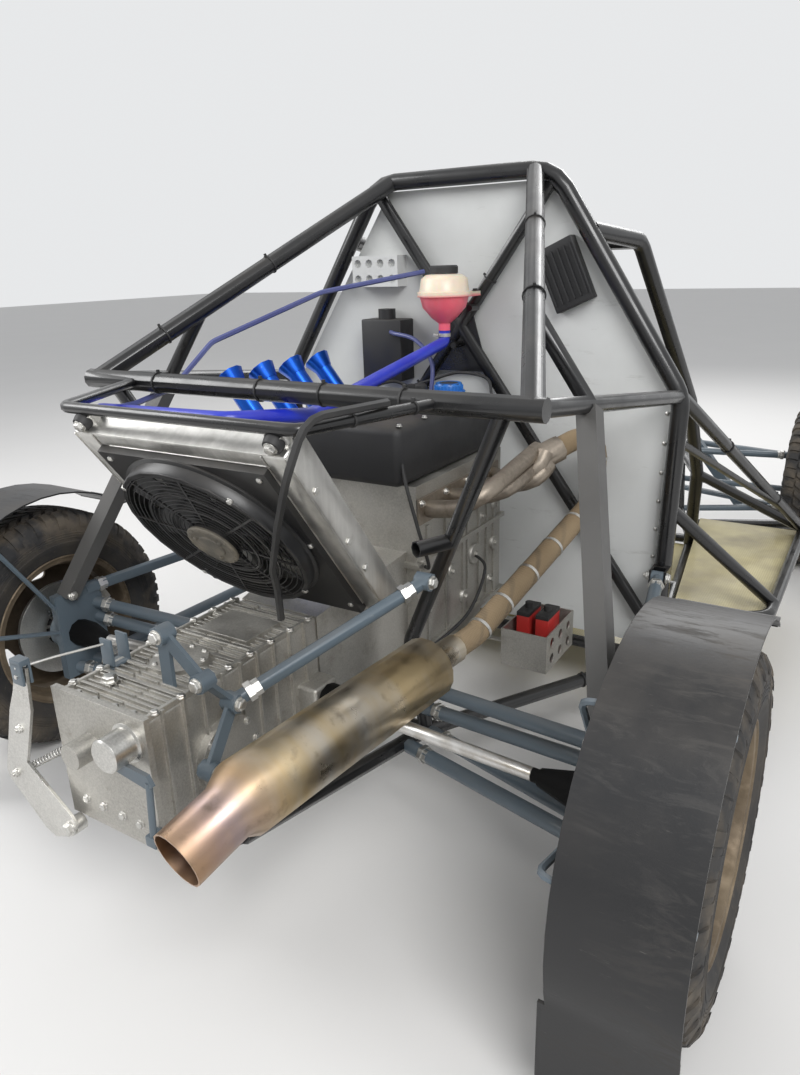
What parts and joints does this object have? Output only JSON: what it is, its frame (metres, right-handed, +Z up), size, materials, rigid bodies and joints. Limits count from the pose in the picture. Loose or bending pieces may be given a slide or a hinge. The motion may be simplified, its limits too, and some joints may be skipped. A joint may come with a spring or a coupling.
{
  "type": "off-road buggy",
  "caption": "bare tubular off-road buggy with a rear engine, slanted radiator and fan, side silencer, box-section struts, plastic mudguards and four open wheels",
  "frame": {"origin": "centre of the bounding box on the ground", "axes": "+Z up, the car faces -Y, +X is its left side"},
  "size_m": [1.915, 3.3139, 1.4794],
  "materials": {
    "gloss_black": "gloss",
    "satin_black": "satin",
    "link_blue": "satin",
    "box_grey": "satin",
    "bare_alloy": "satin",
    "cast_alloy": "rough",
    "sheet_grey": "satin",
    "tray_weave": "satin",
    "steel": "satin",
    "heat_wrap": "rough",
    "anodised_blue": "satin",
    "hose_blue": "satin",
    "bottle_pink": "satin",
    "rim_bronze": "satin",
    "tyre_rubber": "rough",
    "plastic_black": "satin",
    "seat_shell": "satin"
  },
  "bodies": {
    "chassis": {"main_hoop": "gloss_black", "rear_frame": "gloss_black", "cockpit_cage": "gloss_black", "floor_frame": "gloss_black", "undertray": "tray_weave", "firewall": "sheet_grey", "seat": "seat_shell", "engine_block": "cast_alloy", "cam_cover": "satin_black", "intake_trumpets": "anodised_blue", "exhaust_manifold": "steel", "exhaust_pipe": "heat_wrap", "silencer": "steel", "gearbox": "cast_alloy", "shift_linkage": "link_blue", "radiator": "bare_alloy", "fan_shroud": "plastic_black", "expansion_bottle": "bottle_pink", "coolant_hose": "hose_blue", "vent_hose": "hose_blue", "breather_hose": "satin_black", "battery_tray": "cast_alloy", "ecu": "satin_black", "catch_tank": "satin_black", "rear_suspension_l": "link_blue", "rear_suspension_r": "link_blue", "half_shaft_l": "satin_black", "half_shaft_r": "satin_black", "rear_strut_l": "box_grey", "rear_strut_r": "box_grey", "rear_mudguard_l": "plastic_black", "rear_mudguard_r": "plastic_black", "front_suspension_l": "link_blue", "front_suspension_r": "link_blue"},
    "steering": {"steering_wheel": "satin_black"},
    "rack": {"tie_rods": "link_blue"},
    "knuckle_l": {"front_knuckle_l": "link_blue"},
    "knuckle_r": {"front_knuckle_r": "link_blue"},
    "fan": {"fan_rotor": "plastic_black"},
    "wheel_fl": {"tyre_fl": "tyre_rubber", "rim_fl": "rim_bronze"},
    "wheel_fr": {"tyre_fr": "tyre_rubber", "rim_fr": "rim_bronze"},
    "wheel_rl": {"tyre_rl": "tyre_rubber", "rim_rl": "rim_bronze"},
    "wheel_rr": {"tyre_rr": "tyre_rubber", "rim_rr": "rim_bronze"}
  },
  "joints": [
    {"name": "steering_turn", "type": "hinge", "parent": "chassis", "child": "steering", "pos_m": [0, -0.2419, 0.71], "axis": [0, 0.9298, 0.368], "range_deg": [-270, 270]},
    {"name": "rack_slide", "type": "slide", "parent": "chassis", "child": "rack", "axis": [-1, 0, 0], "range_m": [-0.066, 0.066]},
    {"name": "steer_left", "type": "hinge", "parent": "chassis", "child": "knuckle_l", "pos_m": [0.745, -1.3319, 0.325], "axis": [0, 0, 1], "range_deg": [-30.5, 30.5]},
    {"name": "steer_right", "type": "hinge", "parent": "chassis", "child": "knuckle_r", "pos_m": [-0.745, -1.3319, 0.325], "axis": [0, 0, 1], "range_deg": [-30.5, 30.5]},
    {"name": "spin_fl", "type": "hinge", "parent": "knuckle_l", "child": "wheel_fl", "pos_m": [0.845, -1.3319, 0.325], "axis": [1, 0, 0], "continuous": true},
    {"name": "spin_fr", "type": "hinge", "parent": "knuckle_r", "child": "wheel_fr", "pos_m": [-0.845, -1.3319, 0.325], "axis": [1, 0, 0], "continuous": true},
    {"name": "spin_rl", "type": "hinge", "parent": "chassis", "child": "wheel_rl", "pos_m": [0.855, 1.0681, 0.325], "axis": [1, 0, 0], "continuous": true},
    {"name": "spin_rr", "type": "hinge", "parent": "chassis", "child": "wheel_rr", "pos_m": [-0.855, 1.0681, 0.325], "axis": [1, 0, 0], "continuous": true},
    {"name": "fan_spin", "type": "hinge", "parent": "chassis", "child": "fan", "pos_m": [0.02, 1.19705, 0.76022], "axis": [0, 0.8059, -0.592], "continuous": true}
  ],
  "couplings": [
    {"joint": "steer_left", "follows": "steering_turn", "ratio": 0.11111},
    {"joint": "steer_right", "follows": "steering_turn", "ratio": 0.11111},
    {"joint": "rack_slide", "follows": "steering_turn", "m_per_rad": 0.013793}
  ]
}
